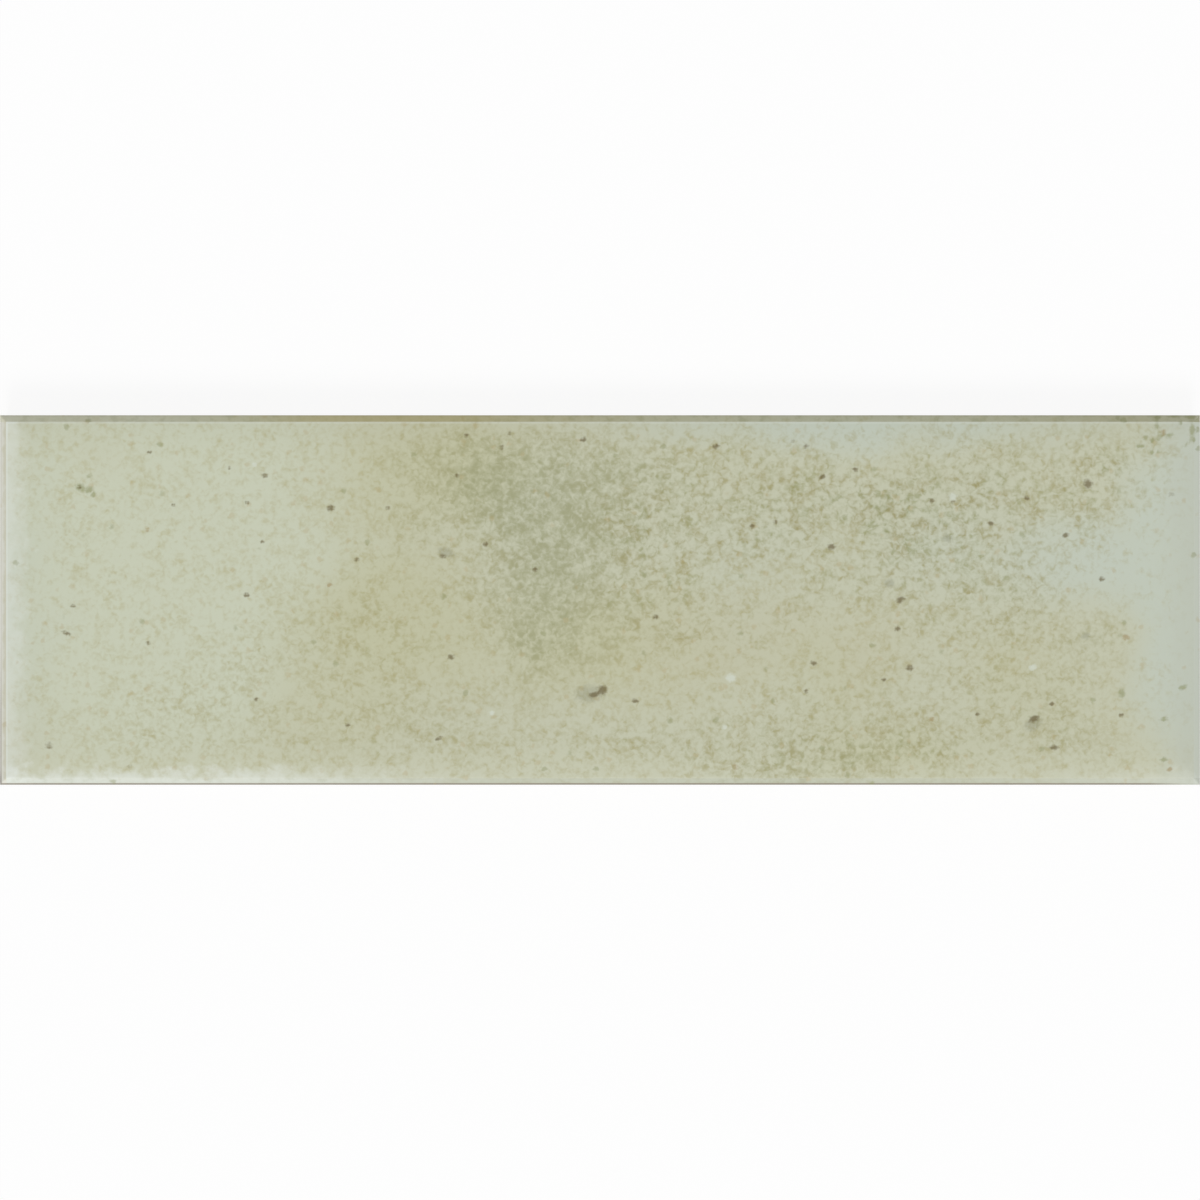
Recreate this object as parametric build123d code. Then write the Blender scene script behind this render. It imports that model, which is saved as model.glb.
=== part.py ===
"""Glazed ceramic wall tile in a long, narrow format.

The tile is dust-pressed and fired as one piece, so it is one solid. It lies on its back with the glazed
face up: +X runs along the length, +Y across the width and +Z out of the face. The origin is at the centre
of the back. All sizes are in millimetres.
"""

import math
import os

from build123d import *

# Overall size
tile_length = 200.0
tile_width = 61.6
tile_thickness = 8.5

# Pressed sides: the tile is widest at the foot of the bevel and narrows towards the back
side_draft_deg = 1.5
back_chamfer = 0.5

# Glazed edge, from the outside inwards: a crisp bevel, then a soft roll up to the flat of the face
bevel_width = 1.15
bevel_drop = 0.95
roll_width = 6.0
roll_drop = 0.30
side_arris_radius = 0.35
face_arris_radius = 0.60

# Key pattern on the back: shallow pockets between ribs, inside a plain rim
key_depth = 0.8
key_pocket_size = 13.0
key_rib_width = 2.6
key_rim_width = 6.5
key_wall_draft_deg = 30.0
key_corner_radius = 1.6

# Heights and the inset of the back that follow from those sizes
roll_edge_height = tile_thickness - roll_drop
bevel_foot_height = roll_edge_height - bevel_drop
back_inset = bevel_foot_height * math.tan(math.radians(side_draft_deg))


def pressed_section(span):
    """Closed upright section across one span of the tile, drawn about the vertical axis."""
    half_span = span / 2
    roll_start = (half_span - bevel_width - roll_width, tile_thickness)
    roll_end = (half_span - bevel_width, roll_edge_height)
    bevel_foot = (half_span, bevel_foot_height)
    back_edge = (half_span - back_inset, 0)

    flat = Line((0, tile_thickness), roll_start)
    roll = TangentArc(roll_start, roll_end, tangent=(1, 0))
    bevel_and_side = Polyline(roll_end, bevel_foot, back_edge, (0, 0))
    half_outline = flat + roll + bevel_and_side
    section = make_face(half_outline + mirror(half_outline, about=Plane.YZ))

    def corners(point):
        """The section's two corners at a point of the half outline and at its mirror image."""
        mirrored = (-point[0], point[1])
        return [section.vertices().sort_by_distance(place)[0] for place in (point, mirrored)]

    section = fillet(corners(roll_end), face_arris_radius)
    section = fillet(corners(bevel_foot), side_arris_radius)
    return chamfer(corners(back_edge), back_chamfer)


def pressed_blank():
    """The tile without its key pattern: the two sections' prisms share mitred corners."""
    across_width = extrude(Plane.YZ * pressed_section(tile_width), amount=tile_length, both=True)
    along_length = extrude(Plane.XZ * pressed_section(tile_length), amount=tile_width, both=True)
    return across_width & along_length


def key_row(span):
    """Number and size of the pockets that fill one span of the back between its rims."""
    keyed_span = span - 2 * (back_inset + back_chamfer + key_rim_width)
    count = max(1, round((keyed_span + key_rib_width) / (key_pocket_size + key_rib_width)))
    size = (keyed_span + key_rib_width) / count - key_rib_width
    return count, size


def key_pockets():
    """All the pockets of the back, each with drafted walls so that it leaves the press punch."""
    count_along, size_along = key_row(tile_length)
    count_across, size_across = key_row(tile_width)
    mouth = RectangleRounded(size_along, size_across, key_corner_radius)
    pocket = extrude(mouth, amount=key_depth, taper=key_wall_draft_deg)
    places = GridLocations(size_along + key_rib_width, size_across + key_rib_width, count_along, count_across)
    return [place * pocket for place in places]


tile = pressed_blank() - key_pockets()
tile.label = "tile"

os.makedirs("parts", exist_ok=True)
export_step(tile, "parts/tile.step")
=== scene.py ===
"""Looks of the matte glazed wall tile: a fine mesh of the pressed shape, its glaze and a plain studio.

Lengths are in millimetres up to the point where a mesh, a lamp or the camera takes them in metres.
"""
import math

import bmesh
import bpy
import numpy as np
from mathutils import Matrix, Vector, noise


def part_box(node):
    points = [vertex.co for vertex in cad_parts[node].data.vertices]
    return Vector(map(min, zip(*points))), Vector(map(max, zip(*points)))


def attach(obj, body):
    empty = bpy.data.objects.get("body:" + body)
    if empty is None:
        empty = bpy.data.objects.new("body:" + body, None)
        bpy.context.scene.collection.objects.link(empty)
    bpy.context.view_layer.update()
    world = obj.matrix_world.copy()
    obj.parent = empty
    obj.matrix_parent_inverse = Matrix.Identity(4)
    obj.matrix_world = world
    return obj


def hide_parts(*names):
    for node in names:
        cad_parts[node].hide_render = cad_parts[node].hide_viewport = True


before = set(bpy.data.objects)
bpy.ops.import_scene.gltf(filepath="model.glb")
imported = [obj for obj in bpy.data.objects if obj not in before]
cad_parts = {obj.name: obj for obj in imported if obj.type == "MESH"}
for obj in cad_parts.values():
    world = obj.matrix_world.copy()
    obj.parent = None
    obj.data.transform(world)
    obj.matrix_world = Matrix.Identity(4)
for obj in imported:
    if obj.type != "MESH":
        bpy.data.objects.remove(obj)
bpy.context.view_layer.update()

# Units and tolerance
MM = 0.001
TOUCH = 1e-6

# Pressed shape, as in the solid
low_corner, high_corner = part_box("tile")
half_length = (high_corner.x - low_corner.x) / 2 / MM
half_width = (high_corner.y - low_corner.y) / 2 / MM
face_height = high_corner.z / MM
bevel_width = 1.15
bevel_drop = 0.95
roll_width = 6.0
roll_drop = 0.30
side_draft_deg = 1.5
back_chamfer = 0.5
roll_edge_height = face_height - roll_drop
bevel_foot_height = roll_edge_height - bevel_drop
# Softened edges of the glaze
face_arris_blend = 0.07
mitre_blend = 0.05
side_arris_in = 0.12
side_arris_down = 0.16
side_arris_steps = 4
# Mesh density
edge_insets = (0.22, 0.34, 0.48, 0.64, 0.80, 0.94, 1.04, 1.12, 1.20, 1.28, 1.38, 1.52, 1.75, 2.1, 2.6, 3.3,
               4.2, 5.2, 6.2, 7.2)
face_step = 0.45
side_rows = 9
# Slight unevenness of the fired face: depth, length, and the level of the noise that it is read from
wave_depth = 0.05
wave_length = 16.0
wave_level = 0.3
peel_depth = 0.006
peel_length = 1.7
peel_level = 7.1
# Corners of the tile in turn, as signs of x and y
corner_signs = ((-1, -1), (1, -1), (1, 1), (-1, 1))

# Photo framing: the tile's length fills the picture
camera_lens = 135.0
camera_sensor = 36.0
# Light levels, chosen so that a colour renders about as it is written
ambient_level = 0.53
key_level = 1.78
key_elevation_deg = 50.0
key_turn_deg = 2.0
key_softness_deg = 25.0
# Floor: its paint, how far it shows white, its size, and a gap that keeps it clear of the tile's back
floor_paint = 0.9
floor_whiteness = 0.90
floor_half_size = 6000.0
floor_gap = 0.05


def linear(level):
    """Linear light of one 0 to 255 display level."""
    share = level / 255
    if share <= 0.04045:
        return share / 12.92
    return ((share + 0.055) / 1.055) ** 2.4


def shade(red, green, blue):
    """A display colour as the linear colour that a socket takes."""
    return (linear(red), linear(green), linear(blue), 1.0)


# Glaze and body colours; several rim tints are painted light and shade
ground = shade(194, 196, 172)
sage = shade(199, 204, 182)
warm_beige = shade(190, 190, 157)
pink_beige = shade(191, 190, 163)
cool_grey = shade(192, 200, 186)
fleck_olive = shade(136, 140, 91)
fleck_brown = shade(146, 139, 88)
fleck_tan = shade(168, 159, 103)
cloud_olive = shade(140, 142, 99)
spot_pale = shade(207, 213, 199)
speck_tan = shade(174, 155, 102)
speck_dark = shade(98, 83, 40)
speck_rust = shade(150, 122, 66)
speck_grey = shade(122, 124, 106)
# Pale thin glaze, and painted highlight on the rolls, the lower bevel and the arrises
rim_pale_and_highlight = shade(222, 227, 220)
# Painted shade that greys the right end
rim_shade_grey = shade(187, 192, 178)
# Pinkish thin glaze, painted lighter as painted light on the left bevel
rim_pink_lightened = shade(217, 215, 205)
rim_tan = shade(196, 194, 170)
rim_olive = shade(192, 188, 148)
rim_straw = shade(190, 178, 122)
rim_shadow = shade(150, 151, 122)
# Painted shade: darker paint that cancels the light on the lower bevel
rim_dusk_shade = shade(166, 171, 157)
# Painted light: lighter paint that cancels the shade on the right bevel
rim_lightened = shade(198, 204, 191)
# Brown body at the outer edge, with painted shade in the same line
arris_brown = shade(128, 118, 104)
biscuit = shade(216, 206, 190)
biscuit_warm = shade(203, 187, 165)
engobe = shade(226, 221, 211)

# Soft patches of the glaze: x, y, half-length, half-width, strength
olive_patches = [
    (-21.5, 21.0, 21.0, 17.0, 0.68), (-9.0, 14.0, 20.0, 17.0, 0.40), (3.0, 22.0, 17.0, 14.0, 0.46),
    (-9.0, 3.0, 17.0, 16.0, 0.34), (-9.0, -7.0, 16.0, 16.0, 0.60), (7.0, 0.0, 11.0, 14.0, 0.22),
    (36.0, -26.0, 14.0, 7.0, 0.35), (47.0, -26.0, 12.0, 7.0, 0.25), (82.0, -26.0, 13.0, 8.0, 0.35),
    (81.0, -7.0, 11.0, 10.0, 0.50), (73.0, -19.0, 9.0, 7.0, 0.30), (80.0, 12.0, 9.0, 7.0, 0.15),
    (-30.0, -22.0, 30.0, 12.0, 0.25), (48.0, 3.0, 9.0, 9.0, 0.15), (10.0, -23.0, 28.0, 10.0, 0.20),
    (-3.0, 9.0, 9.0, 9.0, 0.28),
]
sage_patches = [
    (-72.0, 8.0, 48.0, 46.0, 1.3), (-78.0, -16.0, 30.0, 20.0, 0.4), (-86.0, 22.0, 14.0, 12.0, 0.4),
]
warm_patches = [
    (-25.0, 24.0, 21.0, 15.0, 0.9), (-33.0, 7.0, 18.0, 18.0, 0.5), (-38.0, -8.0, 24.0, 18.0, 0.8),
    (0.0, -7.0, 32.0, 15.0, 0.8), (38.0, -12.0, 18.0, 12.0, 0.5), (68.0, -11.0, 13.0, 20.0, 0.4),
    (46.0, -25.0, 22.0, 9.0, 0.7), (55.0, 16.0, 16.0, 12.0, 0.2), (28.0, 20.0, 13.0, 10.0, 0.2),
    (-45.0, 19.0, 12.0, 15.0, 0.3), (-50.0, -22.0, 26.0, 10.0, 0.3), (78.0, -18.0, 22.0, 16.0, 0.2),
]
pink_patches = [
    (17.0, -8.0, 20.0, 11.0, 0.8), (43.0, -8.0, 20.0, 11.0, 0.6), (26.0, 1.0, 12.0, 10.0, 0.4),
    (-85.0, 24.5, 14.0, 9.0, 0.4), (68.0, -8.0, 12.0, 12.0, 0.3),
]
cool_patches = [
    (84.0, 6.0, 18.0, 11.0, 0.9), (100.0, -7.0, 16.0, 26.0, 1.2), (100.0, 18.0, 15.0, 18.0, 1.2),
    (45.0, 31.0, 58.0, 8.8, 0.90), (25.0, 5.0, 20.0, 16.0, 0.30), (60.0, 8.0, 24.0, 16.0, 0.40),
    (-97.0, 0.0, 12.0, 44.0, 0.45), (48.0, 26.0, 12.0, 6.0, 0.07),
]
mottle_patches = [
    (50.0, 14.0, 53.0, 27.0, 0.9), (8.0, 14.0, 26.0, 26.0, 0.35), (-17.0, 14.0, 34.0, 28.0, 0.6),
    (48.0, -24.0, 50.0, 15.0, 0.50), (-40.0, -10.0, 28.0, 22.0, 0.42), (88.0, 22.0, 16.0, 12.0, 0.48),
    (0.0, -25.0, 70.0, 13.0, 0.4), (74.0, -14.0, 22.0, 14.0, 0.35), (-75.0, -24.0, 30.0, 12.0, 0.25),
    (10.0, -6.0, 26.0, 13.0, 0.42), (45.0, -9.0, 28.0, 13.0, 0.33), (-66.0, -14.0, 18.0, 14.0, 0.3),
    (25.0, 2.0, 12.0, 8.0, -0.20), (44.0, -6.0, 9.0, 9.0, -0.30), (41.0, 9.0, 8.0, 6.0, -0.30),
    (68.0, 1.0, 10.0, 9.0, 0.25), (78.0, 13.0, 9.0, 7.0, 0.12), (49.0, 24.0, 11.0, 6.0, -0.30),
    (-55.0, 19.0, 14.0, 11.0, 0.20), (-29.0, 1.0, 9.0, 8.0, -0.20), (30.0, 9.0, 7.0, 7.0, 0.08),
]
patch_kinds = {
    "olive": olive_patches, "sage": sage_patches, "warm": warm_patches, "pink": pink_patches,
    "cool": cool_patches, "mottle": mottle_patches,
}
# Sum of strengths at which a patch is full
patch_full = 0.85
# How far the patches wander off their plain outlines, and where in the noise that is read
patch_wander = 4.0
patch_wander_length = 11.0
wander_depth_x = 4.0
wander_depth_y = 38.0
# Slow tones, in the order they are laid: kind of patch, strength, colour
slow_tones = (
    ("sage", 0.9, sage), ("warm", 0.8, warm_beige), ("pink", 0.6, pink_beige), ("cool", 0.9, cool_grey),
)

# Stain of the glaze: size and weight of each layer of noise, its swirl, and the noise's usual deviation
fine_fleck_size = 0.85
fine_fleck_weight = 0.75
coarse_fleck_size = 1.5
coarse_fleck_weight = 0.70
clump_size = 2.6
clump_weight = 0.25
clump_span = (-1.5, 1.5)
drift_size = 7.0
drift_weight = 0.28
fleck_twist = 0.6
noise_deviation = 0.0875
# What the patches add to that noise, from where to where it stains, and how strong the stain gets
stain_offset = -1.2
mottle_offset = 1.1
cloud_offset = 2.0
cool_offset = -1.0
stain_span = (-2.6, 4.2)
stain_strength = 0.56
mottle_strength = 0.42
cloud_strength = 0.66

# Specks and spots at their own places: x, y, half-length, half-width, turn in degrees
dark_specks = [
    (-86.6, 18.8, 0.50, 0.40, 0), (-75.0, 24.5, 0.50, 0.40, 0), (-55.8, 20.7, 0.62, 0.50, 0),
    (-61.7, 22.0, 0.45, 0.35, 0), (-58.7, 16.2, 0.50, 0.40, -20),
    (-71.0, 15.8, 0.45, 0.35, 0), (-56.2, 9.7, 0.50, 0.38, 0),
    (-58.8, 0.8, 0.62, 0.48, -10), (-87.7, -1.0, 0.60, 0.36, 0), (-96.2, -1.0, 0.45, 0.35, 0),
    (-88.8, -5.5, 0.95, 0.42, -24), (-75.2, -7.2, 0.55, 0.38, 0), (-57.2, -16.5, 0.50, 0.40, 0),
    (-91.7, -24.2, 1.00, 0.62, -8), (-78.3, -27.8, 0.62, 0.38, 0), (-44.8, 15.3, 0.85, 0.62, 10),
    (-35.3, 15.3, 0.55, 0.42, 0), (-40.5, 6.7, 0.55, 0.42, 0), (-26.2, 7.3, 0.85, 0.48, -14),
    (-22.2, 27.3, 0.62, 0.52, 0), (-16.3, 25.3, 0.60, 0.62, 0), (-15.0, 27.8, 0.55, 0.40, 30),
    (-2.8, 26.7, 0.72, 0.55, 25), (-23.8, 20.7, 0.52, 0.42, 0), (-19.0, 9.3, 0.62, 0.50, -20),
    (-10.8, 5.0, 0.58, 0.48, -20), (-24.8, -9.5, 0.72, 0.55, 15), (-42.0, -20.8, 0.50, 0.42, 0),
    (-26.8, -23.0, 0.75, 0.40, 20), (2.8, -27.0, 0.55, 0.42, 0), (5.8, -16.8, 0.80, 0.45, -10),
    (9.3, -2.8, 0.62, 0.50, 0), (19.3, 25.5, 0.75, 0.60, 0), (32.0, 26.2, 0.72, 0.48, 20),
    (34.3, 25.5, 0.60, 0.50, 30), (37.0, 20.5, 0.72, 0.50, 25), (42.5, 21.7, 0.62, 0.48, -20),
    (25.3, 12.3, 0.60, 0.48, 0), (29.2, 13.0, 0.55, 0.42, 0), (38.5, 8.8, 0.85, 0.62, 10),
    (50.0, 0.0, 0.85, 0.65, 20), (49.5, -4.8, 0.62, 0.55, -20), (51.5, -11.3, 0.80, 0.60, 0),
    (35.5, -10.5, 0.80, 0.45, -20), (47.2, -13.3, 0.55, 0.42, 0), (34.3, -15.2, 0.55, 0.42, 0),
    (81.2, 19.3, 0.95, 0.85, -40), (71.0, 17.0, 0.60, 0.50, 0), (65.0, 12.7, 0.68, 0.52, 0),
    (77.5, 10.8, 0.72, 0.50, 30), (58.7, 16.3, 0.50, 0.40, 0), (55.2, 16.5, 0.55, 0.45, 0),
    (83.5, 3.5, 0.60, 0.50, 0), (95.2, 17.5, 0.62, 0.55, 0), (75.2, -17.3, 0.55, 0.45, 0),
    (72.2, -19.8, 1.15, 0.60, 30), (75.5, -24.5, 1.05, 0.60, -18), (86.7, -19.2, 0.55, 0.42, 0),
    (0.4, -15.0, 1.05, 0.95, 35), (-1.0, -15.8, 1.10, 0.60, 10), (62.8, -19.0, 0.50, 0.42, 0),
]
rust_specks = [
    (-75.3, 11.7, 0.55, 0.45, 0), (-45.0, 2.5, 0.60, 0.50, 0), (22.5, -27.8, 0.70, 0.55, 0),
    (87.5, -6.2, 0.75, 0.60, 0), (94.8, -28.2, 0.65, 0.50, 0), (55.2, -19.8, 0.55, 0.45, 0),
    (93.8, 27.9, 0.75, 0.65, 0),
]
olive_marks = [
    (-86.4, 18.7, 1.10, 0.75, -20), (-85.0, 18.3, 1.00, 0.65, 25), (-84.3, 17.5, 0.65, 0.50, 0),
    (97.0, -14.5, 0.90, 0.55, 30), (86.8, -15.5, 0.70, 0.95, 0), (93.8, -19.8, 0.95, 0.45, 0),
    (92.8, 30.4, 0.50, 0.90, 0), (92.6, 29.0, 0.35, 1.10, 0), (93.3, 27.6, 0.60, 0.90, 0),
    (94.6, 27.3, 1.20, 0.60, 0), (98.6, 28.3, 0.60, 1.25, 0), (99.6, 28.4, 0.50, 0.55, 0),
    (98.8, 26.8, 0.40, 0.90, 15), (98.0, 26.2, 1.10, 0.40, 25), (97.3, 25.9, 0.60, 0.45, 0),
    (93.0, 26.3, 0.55, 0.45, 0), (95.1, 26.0, 0.70, 0.35, -40), (93.1, 24.7, 0.60, 0.45, 0),
    (96.5, 29.5, 0.50, 0.60, 0), (91.9, 26.6, 0.50, 0.40, 0), (91.8, 24.5, 0.45, 0.70, 0),
    (94.4, 30.7, 0.60, 0.45, 0), (96.0, 30.7, 0.80, 0.45, 0), (98.4, 30.5, 1.10, 0.45, 0),
    (87.2, 26.2, 1.40, 0.35, -8), (90.0, 25.5, 1.30, 0.35, -14), (93.8, -26.5, 0.95, 0.55, -10),
]
grey_smears = [
    (-1.8, -15.6, 2.9, 1.7, 8), (48.2, 2.8, 1.05, 0.90, 0), (57.8, 10.3, 1.00, 0.85, 0),
    (80.8, -6.0, 0.95, 0.70, 0), (72.0, -20.6, 1.9, 1.3, 30), (-25.6, 7.9, 1.7, 1.0, -14),
]
pale_spots = [
    (21.8, -13.0, 1.05, 0.85, 0), (20.7, -21.2, 0.55, 0.50, 0), (-18.0, -18.8, 0.60, 0.50, 0),
    (72.0, -11.2, 0.85, 0.65, 20), (58.7, 17.2, 0.85, 0.75, 20), (-57.5, 22.5, 0.55, 0.50, 0),
    (-93.5, 8.2, 0.55, 0.45, 0),
]
speck_kinds = {
    "dark": dark_specks, "rust": rust_specks, "smear": grey_smears, "pale": pale_spots, "mark": olive_marks,
}
# Placed specks, in the order they are laid: kind, strength, colour
placed_specks = (
    ("smear", 0.30, speck_grey), ("mark", 0.60, fleck_olive), ("rust", 0.55, speck_rust),
    ("pale", 0.80, spot_pale), ("dark", 0.74, speck_dark),
)
# Where a placed speck sets in and is full, and the noise that makes its outline ragged
speck_span = (-0.15, 0.60)
shiver_size = 0.55
shiver_reach = 0.8
# Scattered specks: spacing, size, share of the places, strength, colour
scattered_specks = ((2.4, 0.62, 0.40, 0.30, speck_tan), (4.2, 0.66, 0.35, 0.45, fleck_olive))
# Core of a scattered speck as a share of its size, and the noise that shakes it out of round
scattered_core = 0.35
shake_size = 0.8
shake_reach = (1.2, 1.0, 0.0)

# Rims of the glaze, with painted light and shade among their tones. A span says where a tone sets in and
# where it is full, and a reach how ragged that is
strip_edge = 0.05
rim_ragged_size = 1.9
end_ragged_reach = 6.0
# Right rim, along x: painted shade that greys the glaze towards the end, and the bevel painted lighter to
# cancel its shade
right_shade_span = (91.0, 99.0)
right_shade_strength = 0.60
right_bevel_lightening_strength = 0.80
# Lower rim: the bevel painted darker as painted shade that cancels its light, and a glow, partly thin glaze
# and partly painted highlight, that sets in along y, and its strength grows along x to the left and to the
# right
lower_bevel_shade_strength = 0.50
lower_ragged_reach = 8.0
glow_span = (-26.8, -30.8)
glow_strength = 0.05
glow_left_span = (-10.0, -70.0)
glow_left_strength = 0.55
glow_right_span = (66.0, 98.0)
glow_right_strength = 0.18
# Left rim: pale roll, partly thin glaze and partly painted highlight, and the arris highlight along x, tan by
# the inset from the edge
left_pale_highlight_span = (-94.0, -98.8)
left_pale_highlight_strength = 0.45
left_bevel_lightened_strength = 0.70
left_tan_reach = 1.5
left_tan_span = (0.35, 1.05)
left_tan_strength = 0.75
left_arris_span = (-96.0, -98.0)
left_arris_strength = 0.50
# Upper rim: mottles by the ragged noise, the other tones along x, painted shade at the right end and past the
# mitre, and the arris, partly a painted highlight, along y up to its end in x
upper_olive_strength = 0.50
upper_mottle_span = (-0.04, 0.18)
upper_mottle_strength = 0.28
upper_pale_span = (-56.0, -76.0)
upper_pale_strength = 0.20
straw_left_span = (-62.0, -44.0)
straw_right_span = (8.0, -34.0)
straw_strength = 0.50
upper_shadow_span = (50.0, 98.0)
upper_shadow_strength = 0.20
past_mitre_strength = 0.80
upper_arris_span = (26.0, 28.0)
upper_arris_end_span = (98.5, 97.5)
upper_arris_strength = 0.30
# Band of the inner arris, a pale line of thin glaze and painted highlight, by the inset from the edge
arris_outer_span = (1.05, 1.15)
arris_inner_span = (1.55, 1.25)
# Brown line of the outer arris, body showing brown and painted shade: by inset and height, then where it is
# strong, along y and x
brown_line_span = (0.38, 0.20)
brown_line_heights = (6.95, 7.15)
brown_strength = 0.10
brown_lower_span = (-28.0, -30.0)
brown_lower_end_span = (99.0, 90.0)
brown_lower_strength = 0.75
brown_left_span = (-98.0, -99.5)
brown_left_end_span = (-6.0, -22.0)
brown_left_strength = 0.40

# Bare body: size, span and strength of its blush, its grit and the release wash on the ribs
blush_size = 7.0
blush_span = (0.36, 0.66)
blush_strength = 0.55
grit_size = 0.5
grit_span = (0.52, 0.72)
grit_strength = 0.30
wash_size = 3.0
wash_span = (0.38, 0.60)
wash_heights = (0.12, 0.02)
wash_strength = 0.7
# Ragged lower edge of the glaze on the sides
glaze_edge_size = 4.0
glaze_edge_reach = 3.0
glaze_edge_heights = (5.7, 6.1)
# How strongly the matte surface mirrors, how rough it is, and its fine tooth
glaze_sheen = 0.3
glaze_roughness = 0.44
satin_size = 2.2
satin_change = 0.20
biscuit_roughness = 0.92
tooth_size = 0.6
tooth_depth = 0.05
tooth_strength = 0.12


def section_height(inset):
    """Height of the pressed face at a distance in from the outline: bevel, then roll, then flat."""
    bevel = bevel_foot_height + inset * bevel_drop / bevel_width
    along = min(1.0, max(-1.0, (inset - bevel_width) / roll_width))
    roll = face_height - roll_drop * (1 - along) ** 2
    return soft_least(bevel, roll, face_arris_blend)


def soft_least(first, second, softness):
    """The lesser of two heights, with the crossing rounded off."""
    share = min(1.0, max(0.0, 0.5 + 0.5 * (second - first) / softness))
    return second + (first - second) * share - softness * share * (1 - share)


def unevenness(x, y):
    """Depth of the fired face's slow waves and fine peel, always down from the pressed height."""
    wave = noise.noise(Vector((x / wave_length, y / wave_length, wave_level)))
    peel = noise.noise(Vector((x / peel_length, y / peel_length, peel_level)))
    return wave_depth * (0.5 + 0.5 * wave) + peel_depth * (0.5 + 0.5 * peel)


def grid_lines(half_span):
    """Places of the mesh lines across one span, closer together over the bevel and the roll."""
    outer = half_span - side_arris_in
    edge = [outer] + [half_span - inset for inset in edge_insets]
    inner = edge[-1]
    count = round(2 * inner / face_step)
    middle = [-inner + 2 * inner * step / count for step in range(1, count)]
    return [-place for place in edge] + middle + list(reversed(edge))


def face_point(x, y):
    """A point of the glazed face, with the bevels mitred at the corners."""
    inset_x = half_length - abs(x)
    inset_y = half_width - abs(y)
    height = soft_least(section_height(inset_x), section_height(inset_y), mitre_blend)
    calm = min(1.0, min(inset_x, inset_y) / bevel_width - side_arris_in / bevel_width)
    return Vector((x, y, min(height, face_height) - calm * unevenness(x, y))) * MM


def add_face(mesh):
    """Add the grid of the glazed face and give back its outline, once round."""
    lines_x = grid_lines(half_length)
    lines_y = grid_lines(half_width)
    grid = [[mesh.verts.new(face_point(x, y)) for x in lines_x] for y in lines_y]
    for row, above in zip(grid, grid[1:]):
        for step in range(len(row) - 1):
            mesh.faces.new((row[step], row[step + 1], above[step + 1], above[step]))
    right = [row[-1] for row in grid[1:-1]]
    left = [row[0] for row in grid[1:-1]]
    return grid[0] + right + grid[-1][::-1] + left[::-1]


def side_profile():
    """Inset and height of each ring below the face: the rounded arris, then the drafted side."""
    start_height = section_height(side_arris_in)
    end_height = bevel_foot_height - side_arris_down
    rings = []
    for step in range(1, side_arris_steps + 1):
        share = step / side_arris_steps
        inset = side_arris_in * (1 - share) ** 2
        height = (start_height * (1 - share) ** 2 + bevel_foot_height * 2 * share * (1 - share)
                  + end_height * share ** 2)
        rings.append((inset, height))
    top = rings[-1][1]
    for row in range(1, side_rows + 1):
        height = top + (back_chamfer - top) * row / side_rows
        rings.append(((top - height) * math.tan(math.radians(side_draft_deg)), height))
    return rings


def add_sides(mesh, outline):
    """Add the arris and the sides below an outline and give back the lowest ring."""
    upper = outline
    reach_x = half_length - side_arris_in
    reach_y = half_width - side_arris_in
    for inset, height in side_profile():
        grow_x = (half_length - inset) / reach_x
        grow_y = (half_width - inset) / reach_y
        lower = []
        for corner in outline:
            place = (corner.co.x * grow_x, corner.co.y * grow_y, height * MM)
            lower.append(mesh.verts.new(place))
        for step in range(len(upper)):
            after = (step + 1) % len(upper)
            mesh.faces.new((upper[after], upper[step], lower[step], lower[after]))
        upper = lower
    return upper


def outermost(points, signs):
    """The point furthest out towards one corner of the tile."""
    return max(points, key=lambda point: point.co.x * signs[0] + point.co.y * signs[1])


def copy_back(mesh):
    """Take over the keyed back of the solid and give back the corners of its rim, in turn."""
    solid = bmesh.new()
    solid.from_mesh(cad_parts["tile"].data)
    bmesh.ops.remove_doubles(solid, verts=solid.verts, dist=TOUCH)
    resting = [corner.co for corner in solid.verts if corner.co.z < TOUCH]
    reach_x = max(place.x for place in resting) + TOUCH
    reach_y = max(place.y for place in resting) + TOUCH
    copies = {}
    for facet in solid.faces:
        places = [corner.co for corner in facet.verts]
        inside = all(abs(place.x) < reach_x and abs(place.y) < reach_y for place in places)
        if not inside or max(place.z for place in places) > bevel_foot_height / 2 * MM:
            continue
        for corner in facet.verts:
            if corner not in copies:
                copies[corner] = mesh.verts.new(corner.co)
        mesh.faces.new([copies[corner] for corner in facet.verts])
    flat = [copy for corner, copy in copies.items() if corner.co.z < TOUCH]
    solid.free()
    return [outermost(flat, signs) for signs in corner_signs]


def close_chamfer(mesh, ring, corners):
    """Close the chamfer between the lowest ring of the sides and the corners of the back's rim."""
    turns = [ring.index(outermost(ring, signs)) for signs in corner_signs]
    for side, first in enumerate(turns):
        after = (side + 1) % len(turns)
        count = (turns[after] - first) % len(ring)
        half = count // 2
        run = [ring[(first + step) % len(ring)] for step in range(count + 1)]
        for step in range(count):
            near = corners[side] if step < half else corners[after]
            mesh.faces.new((run[step + 1], run[step], near))
        mesh.faces.new((run[half], corners[side], corners[after]))


def eased(value, start, end):
    """Rise smoothly from 0 at start to 1 at end, for arrays."""
    share = np.clip((value - start) / (end - start), 0, 1)
    return share * share * (3 - 2 * share)


def patch_field(x, y, patches):
    """Soft patches added together."""
    total = np.zeros_like(x)
    for place_x, place_y, half_long, half_short, strength in patches:
        reach = np.hypot((x - place_x) / half_long, (y - place_y) / half_short)
        total += strength * np.clip(1 - reach, 0, 1)
    return eased(total, 0.0, patch_full)


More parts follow.
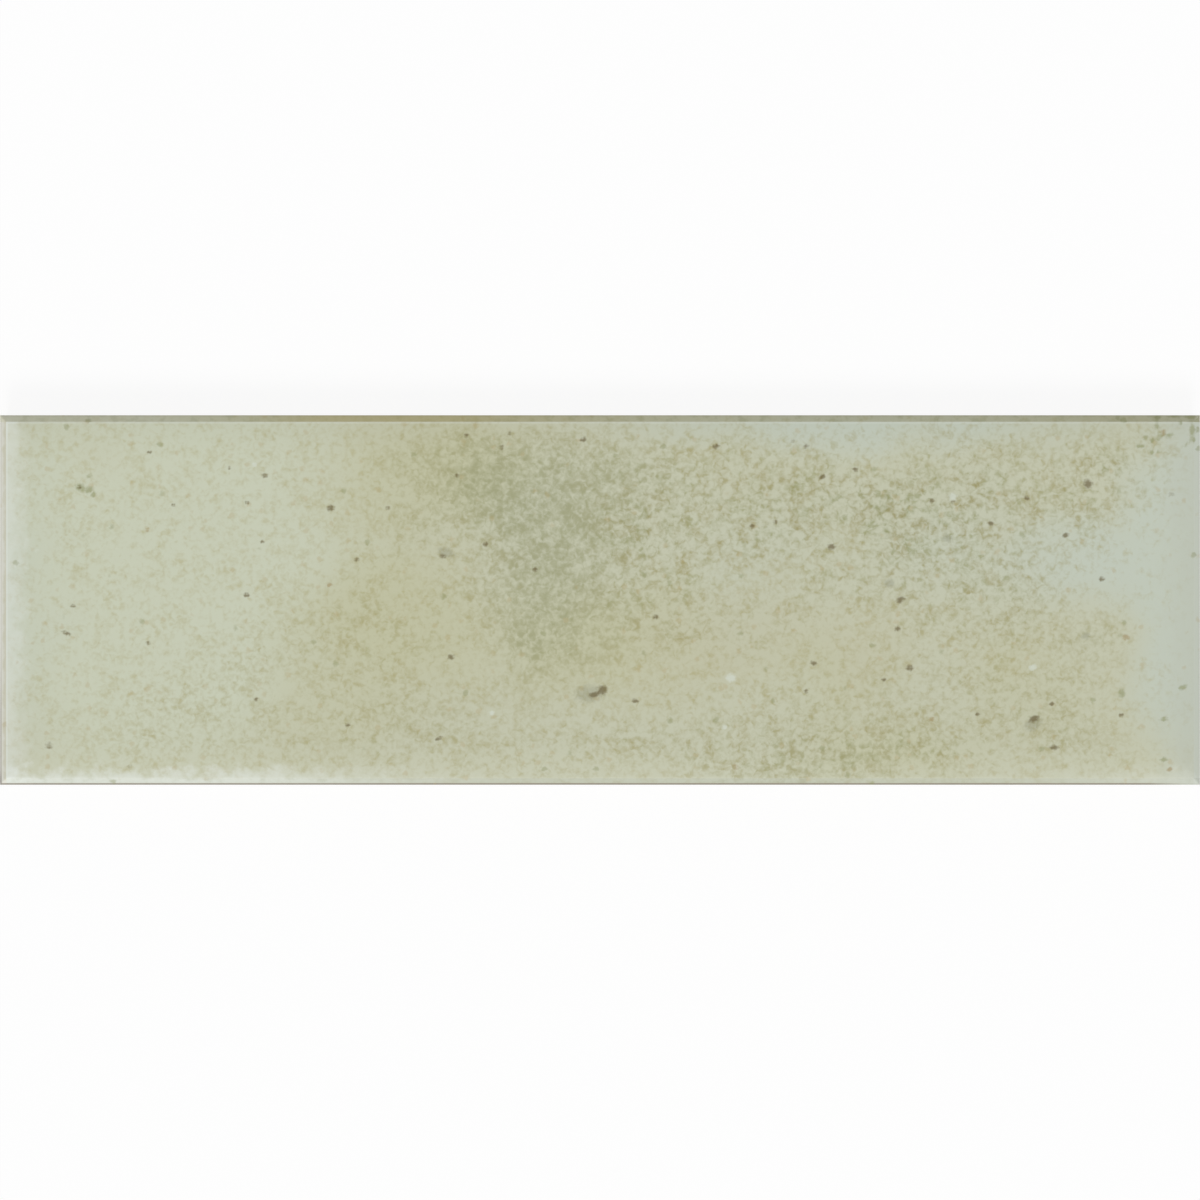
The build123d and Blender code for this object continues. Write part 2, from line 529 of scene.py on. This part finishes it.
def speck_field(x, y, specks):
    """How deep each point lies in the nearest speck: 1 at its centre, 0 at its edge."""
    total = np.full_like(x, -1.0)
    for place_x, place_y, half_long, half_short, turn_deg in specks:
        turn = math.radians(turn_deg)
        along = (x - place_x) * math.cos(turn) + (y - place_y) * math.sin(turn)
        across = (y - place_y) * math.cos(turn) - (x - place_x) * math.sin(turn)
        total = np.maximum(total, 1 - np.hypot(along / half_long, across / half_short))
    return total


def wander(x, y, depth):
    """How far the patches stray at each point, from one level of the same noise on every run."""
    points = [Vector((px, py, depth)) / patch_wander_length for px, py in zip(x, y)]
    return patch_wander * np.array([noise.noise(point) for point in points])


def carry_fields(data):
    """Store at each point of the mesh the values that the glaze's colour is worked out from."""
    points = np.zeros(len(data.vertices) * 3)
    data.vertices.foreach_get("co", points)
    x, y = points.reshape(-1, 3).T[:2] / MM
    far_x = x + wander(x, y, wander_depth_x)
    far_y = y + wander(x, y, wander_depth_y)
    fields = {"inset": np.minimum(half_length - np.abs(x), half_width - np.abs(y))}
    for name, patches in patch_kinds.items():
        fields[name] = patch_field(far_x, far_y, patches)
    for name, specks in speck_kinds.items():
        fields[name] = speck_field(x, y, specks)
    for name, values in fields.items():
        data.attributes.new(name, "FLOAT", "POINT").data.foreach_set("value", values.astype(np.float32))


def tile_piece():
    """The tile as one closed mesh that stands for the solid."""
    mesh = bmesh.new()
    outline = add_face(mesh)
    lowest = add_sides(mesh, outline)
    for facet in mesh.faces:
        facet.smooth = True
    close_chamfer(mesh, lowest, copy_back(mesh))
    bmesh.ops.recalc_face_normals(mesh, faces=mesh.faces)
    data = bpy.data.meshes.new("glazed_tile")
    mesh.to_mesh(data)
    mesh.free()
    carry_fields(data)
    piece = bpy.data.objects.new("glazed_tile", data)
    bpy.context.scene.collection.objects.link(piece)
    return piece


def feed(tree, socket, value):
    """Link a socket to another one, or set its constant."""
    if isinstance(value, bpy.types.NodeSocket):
        tree.links.new(value, socket)
    else:
        socket.default_value = value


def add(tree, kind, feeds, **settings):
    """Add one node with its settings and its inputs, by name or by place."""
    node = tree.nodes.new(kind)
    for name, value in settings.items():
        setattr(node, name, value)
    for place, value in feeds.items():
        feed(tree, node.inputs[place], value)
    return node


def calc(tree, operation, first, second=0.0, third=0.0, clamp=False):
    """One step of arithmetic on numbers."""
    feeds = {0: first, 1: second, 2: third}
    return add(tree, "ShaderNodeMath", feeds, operation=operation, use_clamp=clamp).outputs[0]


def both(tree, first, second):
    """Where two shares hold together."""
    return calc(tree, "MULTIPLY", first, second)


def move(tree, operation, first, second):
    """One step of arithmetic on places."""
    return add(tree, "ShaderNodeVectorMath", {0: first, 1: second}, operation=operation).outputs[0]


def mix(tree, share, first, second):
    """Blend from the first colour to the second."""
    return add(tree, "ShaderNodeMix", {0: share, 6: first, 7: second}, data_type="RGBA").outputs[2]


def blend(tree, share, first, second):
    """Blend from the first number to the second."""
    return add(tree, "ShaderNodeMix", {0: share, 2: first, 3: second}, data_type="FLOAT").outputs[0]


def ease(tree, value, start, end):
    """Rise smoothly from 0 at start to 1 at end."""
    feeds = {"Value": value, "From Min": start, "From Max": end}
    return add(tree, "ShaderNodeMapRange", feeds, interpolation_type="SMOOTHSTEP").outputs[0]


def grain(tree, place, size, detail=2.0, roughness=0.5, distortion=0.0):
    """Soft noise whose features are about one size across."""
    feeds = {"Vector": place, "Scale": 1 / size, "Detail": detail, "Roughness": roughness,
             "Distortion": distortion}
    return add(tree, "ShaderNodeTexNoise", feeds)


def uneven(tree, place, size, detail=3.0, roughness=0.6):
    """Noise from 0 to 1 with finer noise in it."""
    return grain(tree, place, size, detail, roughness).outputs["Fac"]


def spread(tree, place, size, twist=0.0):
    """Soft noise about zero, counted in its own usual deviation."""
    level = grain(tree, place, size, distortion=twist).outputs["Fac"]
    return calc(tree, "MULTIPLY_ADD", level, 1 / noise_deviation, -0.5 / noise_deviation)


def sprinkle(tree, place, spacing, size, share):
    """Fine specks in a random scatter: one to a cell, in a share of the cells."""
    cells = add(tree, "ShaderNodeTexVoronoi", {"Vector": place, "Scale": 1 / spacing})
    near = ease(tree, cells.outputs["Distance"], size / spacing, scattered_core * size / spacing)
    chance = add(tree, "ShaderNodeSeparateColor", {0: cells.outputs["Color"]}).outputs[0]
    return both(tree, near, calc(tree, "GREATER_THAN", chance, 1 - share))


def field(tree, name):
    """One of the values that the mesh carries at its points."""
    return add(tree, "ShaderNodeAttribute", {}, attribute_name=name).outputs["Fac"]


def layer(tree, colour, share, strength, tint):
    """Lay a tint over a colour where a share says, up to a strength."""
    return mix(tree, calc(tree, "MULTIPLY", share, strength), colour, tint)


def ground_colour(tree):
    """The slow pale tones of the glaze: sage, beige and cool grey patches."""
    colour = ground
    for name, strength, tint in slow_tones:
        colour = layer(tree, colour, field(tree, name), strength, tint)
    return colour


def added(tree, start, *parts):
    """A start value with each part's value times its weight added to it."""
    total = start
    for value, weight in parts:
        total = calc(tree, "MULTIPLY_ADD", value, weight, total)
    return total


def stain_layer(tree, place, colour):
    """Soft olive and tan flecks: sparse in the pale zones, thick in the mottled ones, closed in the cloud."""
    mottle = field(tree, "mottle")
    cloud = field(tree, "olive")
    fine = spread(tree, place, fine_fleck_size, fleck_twist)
    coarse = spread(tree, place, coarse_fleck_size, fleck_twist)
    clumps = spread(tree, place, clump_size)
    drift = spread(tree, place, drift_size)
    signal = added(tree, stain_offset, (fine, fine_fleck_weight), (coarse, coarse_fleck_weight),
                   (clumps, clump_weight), (drift, drift_weight), (mottle, mottle_offset),
                   (cloud, cloud_offset), (field(tree, "cool"), cool_offset))
    stain = ease(tree, signal, *stain_span)
    amount = blend(tree, cloud, added(tree, stain_strength, (mottle, mottle_strength)), cloud_strength)
    tint = mix(tree, ease(tree, clumps, *clump_span), fleck_olive, fleck_brown)
    tint = mix(tree, mottle, fleck_tan, tint)
    tint = mix(tree, cloud, tint, cloud_olive)
    return layer(tree, colour, stain, amount, tint)


def speck_layers(tree, place, colour):
    """Scattered tan and olive specks, and the larger specks and pale spots at their own places."""
    flat = move(tree, "MULTIPLY", place, (1, 1, 0))
    shake = move(tree, "MULTIPLY", grain(tree, flat, shake_size).outputs["Color"], shake_reach)
    shaken = move(tree, "ADD", flat, shake)
    for spacing, size, share, strength, tint in scattered_specks:
        colour = layer(tree, colour, sprinkle(tree, shaken, spacing, size, share), strength, tint)
    shiver = grain(tree, flat, shiver_size, detail=1.0).outputs["Fac"]
    nudge = calc(tree, "MULTIPLY_ADD", shiver, shiver_reach, -shiver_reach / 2)
    for name, strength, tint in placed_specks:
        near = ease(tree, calc(tree, "ADD", field(tree, name), nudge), *speck_span)
        colour = layer(tree, colour, near, strength, tint)
    return colour


def beyond(tree, value, line):
    """1 past a line on its outer side and 0 on its inner side, with a narrow soft edge."""
    edge = math.copysign(strip_edge, line)
    return ease(tree, value, line - edge, line + edge)


def rim_places(tree, place):
    """What the rims are worked out from: coordinates, inset, a ragged wander and the bevels' strips."""
    x, y, z = add(tree, "ShaderNodeSeparateXYZ", {0: place}).outputs
    ragged = calc(tree, "SUBTRACT", uneven(tree, place, rim_ragged_size), 0.5)
    bevel_x = half_length - bevel_width
    bevel_y = half_width - bevel_width
    return {
        "x": x, "y": y, "z": z, "inset": field(tree, "inset"), "ragged": ragged,
        "left": beyond(tree, x, -bevel_x), "right": beyond(tree, x, bevel_x),
        "lower": beyond(tree, y, -bevel_y), "upper": beyond(tree, y, bevel_y),
    }


def right_rim(tree, rim, colour):
    """Painted shade greys the glaze towards the right end, and the bevel there is painted lighter to cancel
    its shade, so that it blends in.
    """
    along = calc(tree, "MULTIPLY_ADD", rim["ragged"], end_ragged_reach, rim["x"])
    colour = layer(tree, colour, ease(tree, along, *right_shade_span), right_shade_strength, rim_shade_grey)
    return layer(tree, colour, rim["right"], right_bevel_lightening_strength, rim_lightened)


def lower_rim(tree, rim, colour):
    """A lower bevel toned down with painted shade that cancels its light, under a pale, blotchy glow, partly
    thin glaze and partly painted highlight, that is strongest to the left.
    """
    colour = layer(tree, colour, rim["lower"], lower_bevel_shade_strength, rim_dusk_shade)
    across = calc(tree, "MULTIPLY_ADD", rim["ragged"], lower_ragged_reach, rim["y"])
    left = ease(tree, rim["x"], *glow_left_span)
    right = ease(tree, rim["x"], *glow_right_span)
    strength = added(tree, glow_strength, (left, glow_left_strength), (right, glow_right_strength))
    return layer(tree, colour, ease(tree, across, *glow_span), strength, rim_pale_and_highlight)


def left_rim(tree, rim, colour):
    """Thin pale glaze and a painted highlight on the left roll, and a pinkish bevel, painted lighter as
    painted light, that darkens up to its bright arris, a painted highlight.
    """
    along = calc(tree, "MULTIPLY_ADD", rim["ragged"], end_ragged_reach, rim["x"])
    colour = layer(tree, colour, ease(tree, along, *left_pale_highlight_span), left_pale_highlight_strength, rim_pale_and_highlight)
    colour = layer(tree, colour, rim["left"], left_bevel_lightened_strength, rim_pink_lightened)
    inward = calc(tree, "MULTIPLY_ADD", rim["ragged"], left_tan_reach, rim["inset"])
    inner = both(tree, rim["left"], ease(tree, inward, *left_tan_span))
    colour = layer(tree, colour, inner, left_tan_strength, rim_tan)
    arris = both(tree, arris_band(tree, rim), ease(tree, rim["x"], *left_arris_span))
    return layer(tree, colour, arris, left_arris_strength, rim_pale_and_highlight)


def upper_rim(tree, rim, colour):
    """A mottled olive bevel along the top, whose painted shade runs on over the right mitre, with more
    painted shade at its right end, and a thin pale arris that is partly a painted highlight.
    """
    x = rim["x"]
    mottles = ease(tree, rim["ragged"], *upper_mottle_span)
    pale = ease(tree, x, *upper_pale_span)
    straw = both(tree, ease(tree, x, *straw_left_span), ease(tree, x, *straw_right_span))
    shadow = ease(tree, x, *upper_shadow_span)
    past_mitre = beyond(tree, calc(tree, "SUBTRACT", x, rim["y"]), half_length - half_width)
    tones = (
        (1.0, upper_olive_strength, rim_olive), (mottles, upper_mottle_strength, fleck_olive),
        (pale, upper_pale_strength, rim_pale_and_highlight), (straw, straw_strength, rim_straw),
        (shadow, upper_shadow_strength, rim_shadow), (past_mitre, past_mitre_strength, rim_shadow),
    )
    for share, strength, tint in tones:
        colour = layer(tree, colour, both(tree, rim["upper"], share), strength, tint)
    shown = both(tree, ease(tree, rim["y"], *upper_arris_span), ease(tree, x, *upper_arris_end_span))
    return layer(tree, colour, both(tree, arris_band(tree, rim), shown), upper_arris_strength, rim_pale_and_highlight)


def arris_band(tree, rim):
    """The narrow band along the inner edge of the bevel, where the glaze breaks pale and a highlight is
    painted.
    """
    inset = rim["inset"]
    return both(tree, ease(tree, inset, *arris_outer_span), ease(tree, inset, *arris_inner_span))


def outer_arris(tree, rim, colour):
    """The outer edge, where the glaze is thin and the body shows brown, with painted shade in the same line,
    mostly along the lower side.
    """
    x = rim["x"]
    y = rim["y"]
    line = both(tree, ease(tree, rim["inset"], *brown_line_span), ease(tree, rim["z"], *brown_line_heights))
    below = both(tree, ease(tree, y, *brown_lower_span), ease(tree, x, *brown_lower_end_span))
    beside = both(tree, ease(tree, x, *brown_left_span), ease(tree, y, *brown_left_end_span))
    beside = calc(tree, "SUBTRACT", beside, below, clamp=True)
    strength = added(tree, brown_strength, (below, brown_lower_strength), (beside, brown_left_strength))
    return layer(tree, colour, line, strength, arris_brown)


def rim_layers(tree, place, colour):
    """The rims of the tile, each with its own look, much of it painted light and shade, and the outer arris
    over them.
    """
    rim = rim_places(tree, place)
    for side in (right_rim, lower_rim, left_rim, upper_rim, outer_arris):
        colour = side(tree, rim, colour)
    return colour


def glaze_colour(tree, place):
    """Colour of the mottled glaze, from its ground tones to its rims."""
    colour = stain_layer(tree, place, ground_colour(tree))
    colour = rim_layers(tree, place, colour)
    return speck_layers(tree, place, colour)


def biscuit_colour(tree, place):
    """Colour of the bare fired body, with a pale release wash on the ribs of the back."""
    blush = ease(tree, uneven(tree, place, blush_size), *blush_span)
    colour = layer(tree, biscuit, blush, blush_strength, biscuit_warm)
    grit = ease(tree, uneven(tree, place, grit_size, detail=2.0, roughness=0.7), *grit_span)
    colour = layer(tree, colour, grit, grit_strength, biscuit_warm)
    height = add(tree, "ShaderNodeSeparateXYZ", {0: place}).outputs[2]
    patchy = ease(tree, uneven(tree, place, wash_size, roughness=0.65), *wash_span)
    wash = both(tree, ease(tree, height, *wash_heights), patchy)
    return layer(tree, colour, wash, wash_strength, engobe)


def glaze_cover(tree, place):
    """1 where the glaze covers the body, and 0 below its ragged edge on the sides."""
    height = add(tree, "ShaderNodeSeparateXYZ", {0: place}).outputs[2]
    run = calc(tree, "SUBTRACT", uneven(tree, place, glaze_edge_size), 0.5)
    edge = calc(tree, "MULTIPLY_ADD", run, glaze_edge_reach, height)
    return ease(tree, edge, *glaze_edge_heights)


def glazed_ceramic():
    """One material for the whole tile: glaze on the face and bevel, bare body below a ragged glaze edge."""
    material = bpy.data.materials.new("glazed_ceramic")
    material.use_nodes = True
    tree = material.node_tree
    surface = tree.nodes["Principled BSDF"]
    place = add(tree, "ShaderNodeTexCoord", {}).outputs["Object"]
    place = move(tree, "MULTIPLY", place, (1 / MM, 1 / MM, 1 / MM))
    cover = glaze_cover(tree, place)
    colour = mix(tree, cover, biscuit_colour(tree, place), glaze_colour(tree, place))
    feed(tree, surface.inputs["Base Color"], colour)
    satin = calc(tree, "MULTIPLY_ADD", uneven(tree, place, satin_size), satin_change, glaze_roughness)
    feed(tree, surface.inputs["Roughness"], blend(tree, cover, biscuit_roughness, satin))
    surface.inputs["Specular IOR Level"].default_value = glaze_sheen
    tooth = uneven(tree, place, tooth_size)
    feeds = {"Strength": tooth_strength, "Distance": tooth_depth * MM, "Height": tooth}
    feed(tree, surface.inputs["Normal"], add(tree, "ShaderNodeBump", feeds).outputs[0])
    return material


def background_rays(tree):
    """1 for the rays that show the background: camera, glossy and transmission rays."""
    rays = add(tree, "ShaderNodeLightPath", {}).outputs
    seen = calc(tree, "MAXIMUM", rays["Is Camera Ray"], rays["Is Glossy Ray"])
    return calc(tree, "MAXIMUM", seen, rays["Is Transmission Ray"])


def white_floor():
    """A wide pale floor that shows white and keeps a faint shadow."""
    data = bpy.data.meshes.new("floor")
    reach = floor_half_size * MM
    depth = -floor_gap * MM
    corners = [(sign_x * reach, sign_y * reach, depth) for sign_x, sign_y in corner_signs]
    data.from_pydata(corners, [], [(0, 1, 2, 3)])
    floor = bpy.data.objects.new("floor", data)
    bpy.context.scene.collection.objects.link(floor)
    material = bpy.data.materials.new("floor_white")
    material.use_nodes = True
    tree = material.node_tree
    tree.nodes.remove(tree.nodes["Principled BSDF"])
    grey = (floor_paint, floor_paint, floor_paint, 1)
    paint = add(tree, "ShaderNodeBsdfDiffuse", {"Color": grey}).outputs[0]
    glow = add(tree, "ShaderNodeEmission", {"Color": (1, 1, 1, 1), "Strength": 1.0}).outputs[0]
    share = calc(tree, "MULTIPLY", background_rays(tree), floor_whiteness)
    mixed = add(tree, "ShaderNodeMixShader", {0: share, 1: paint, 2: glow}).outputs[0]
    feed(tree, tree.nodes["Material Output"].inputs["Surface"], mixed)
    data.materials.append(material)


def studio_light():
    """Even light all round and one broad key lamp from beyond the picture's lower edge."""
    world = bpy.data.worlds.new("studio")
    bpy.context.scene.world = world
    world.use_nodes = True
    tree = world.node_tree
    level = calc(tree, "MULTIPLY_ADD", background_rays(tree), 1 - ambient_level, ambient_level)
    feed(tree, tree.nodes["Background"].inputs["Color"], (1, 1, 1, 1))
    feed(tree, tree.nodes["Background"].inputs["Strength"], level)
    lamp = bpy.data.lights.new("key", "SUN")
    lamp.energy = key_level
    lamp.angle = math.radians(key_softness_deg)
    key = bpy.data.objects.new("key", lamp)
    key.rotation_euler = (math.radians(90 - key_elevation_deg), 0, math.radians(-key_turn_deg))
    bpy.context.scene.collection.objects.link(key)


def photo_camera():
    """A long lens straight above the tile, with the tile's length across the whole picture."""
    data = bpy.data.cameras.new("camera")
    data.sensor_width = camera_sensor
    data.lens = camera_lens
    camera = bpy.data.objects.new("camera", data)
    distance = half_length * MM * 2 * camera_lens / camera_sensor
    camera.location = (0, 0, bevel_foot_height * MM + distance)
    bpy.context.scene.collection.objects.link(camera)
    bpy.context.scene.camera = camera


tile = tile_piece()
tile.data.materials.append(glazed_ceramic())
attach(tile, "root")
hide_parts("tile")
white_floor()
studio_light()
photo_camera()
bpy.context.scene.view_settings.view_transform = "Standard"
